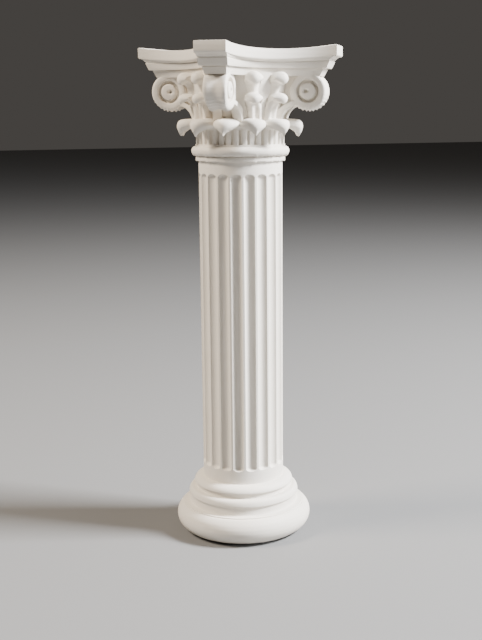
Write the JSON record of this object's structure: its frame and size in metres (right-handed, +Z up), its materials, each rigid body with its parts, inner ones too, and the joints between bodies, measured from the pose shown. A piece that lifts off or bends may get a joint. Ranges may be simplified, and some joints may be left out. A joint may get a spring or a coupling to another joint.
{
  "type": "model corinthian column",
  "caption": "Small printed Corinthian column in warm white plastic, with moulded base, fluted shaft and leafy capital under a hollow-sided abacus.",
  "frame": {"origin": "middle of the underside of the base", "axes": "+Z up the column's axis; the sides of the abacus face X and Y, so its corners and volutes lie on the diagonals"},
  "size_m": [0.0494, 0.0494, 0.15],
  "materials": {
    "printed_plastic": "matte warm white, as printed"
  },
  "bodies": {
    "root": {"column": "printed_plastic"}
  },
  "joints": []
}
